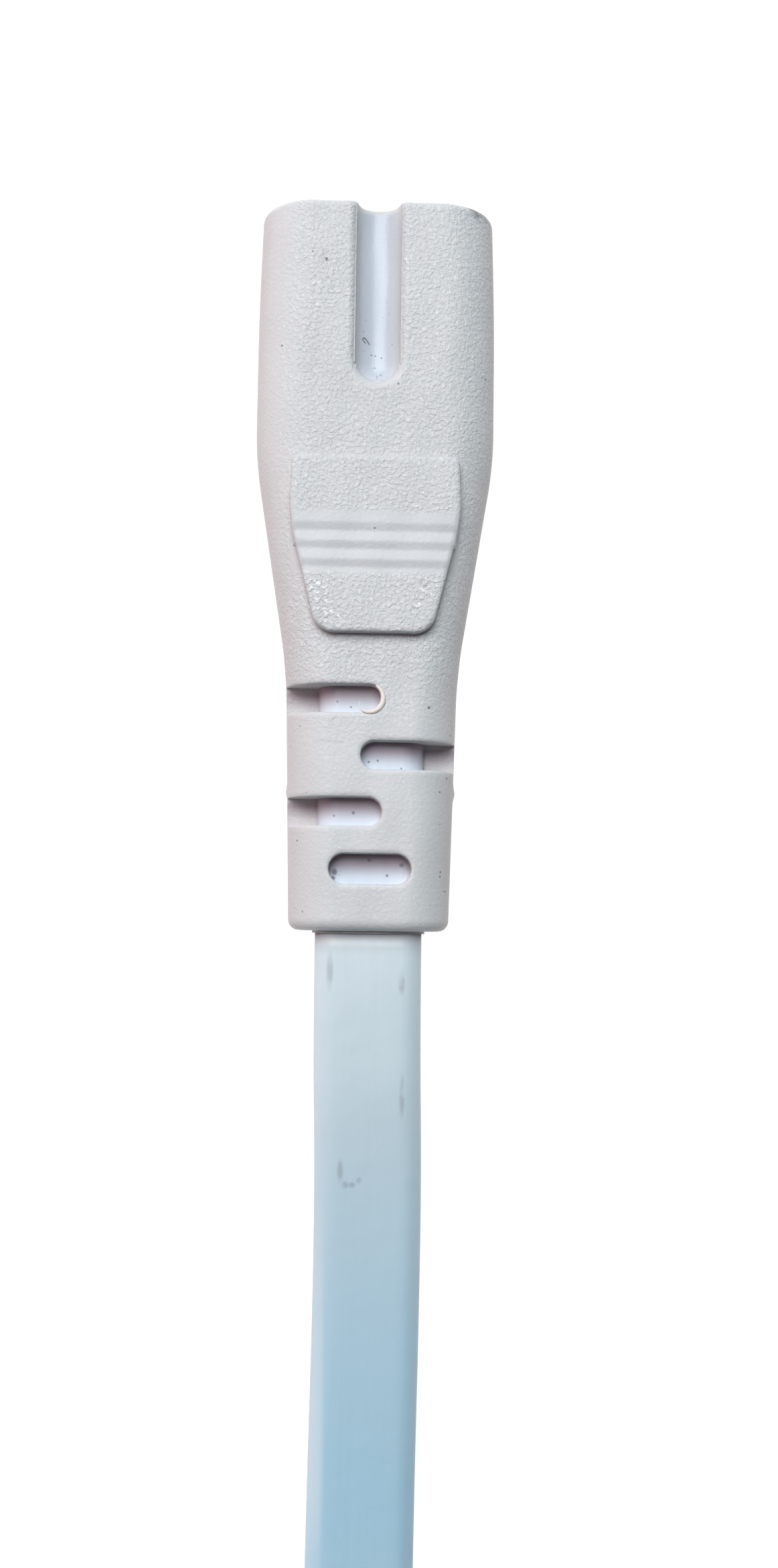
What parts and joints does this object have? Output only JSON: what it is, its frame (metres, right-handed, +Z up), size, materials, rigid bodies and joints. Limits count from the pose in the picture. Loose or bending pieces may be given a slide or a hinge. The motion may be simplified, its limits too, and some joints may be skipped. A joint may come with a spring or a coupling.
{
  "type": "cord connector",
  "caption": "Two-pole appliance connector with slotted strain relief on a flat mains lead, lying flat, the lead tied in a hank with its flat-pin plug beside it.",
  "frame": {"origin": "under the middle of the connector's length and width, on the surface it lies on", "axes": "+Y towards the mating end, -Y the way the cord leaves, +Z up out of the upper broad face"},
  "size_m": [0.0713, 0.2495, 0.0166],
  "materials": {
    "overmould": "white PVC, fine spark-eroded grain",
    "carrier": "white hard plastic, smooth",
    "contact": "bare rolled brass",
    "core_brown": "brown PVC insulation",
    "core_blue": "blue PVC insulation",
    "conductor": "bare stranded copper",
    "cord_sheath": "white PVC sheath, satin, lightly soiled",
    "tie": "white hook-and-loop strap",
    "blade": "nickel-plated brass"
  },
  "bodies": {
    "root": {"connector_overmould": "overmould", "contact_carrier": "carrier", "contact_left": "contact", "contact_right": "contact", "core_left": "core_brown", "core_right": "core_blue", "conductor_left": "conductor", "conductor_right": "conductor", "cord_end_in_connector": "cord_sheath", "cord_lead": "cord_sheath", "cord_hank": "cord_sheath", "cord_tail": "cord_sheath", "cord_end_in_plug": "cord_sheath", "hank_tie": "tie", "plug_overmould": "overmould", "plug_carrier": "carrier", "plug_blade_left": "blade", "plug_blade_right": "blade", "plug_core_left": "core_brown", "plug_core_right": "core_blue", "plug_conductor_left": "conductor", "plug_conductor_right": "conductor"}
  },
  "joints": []
}
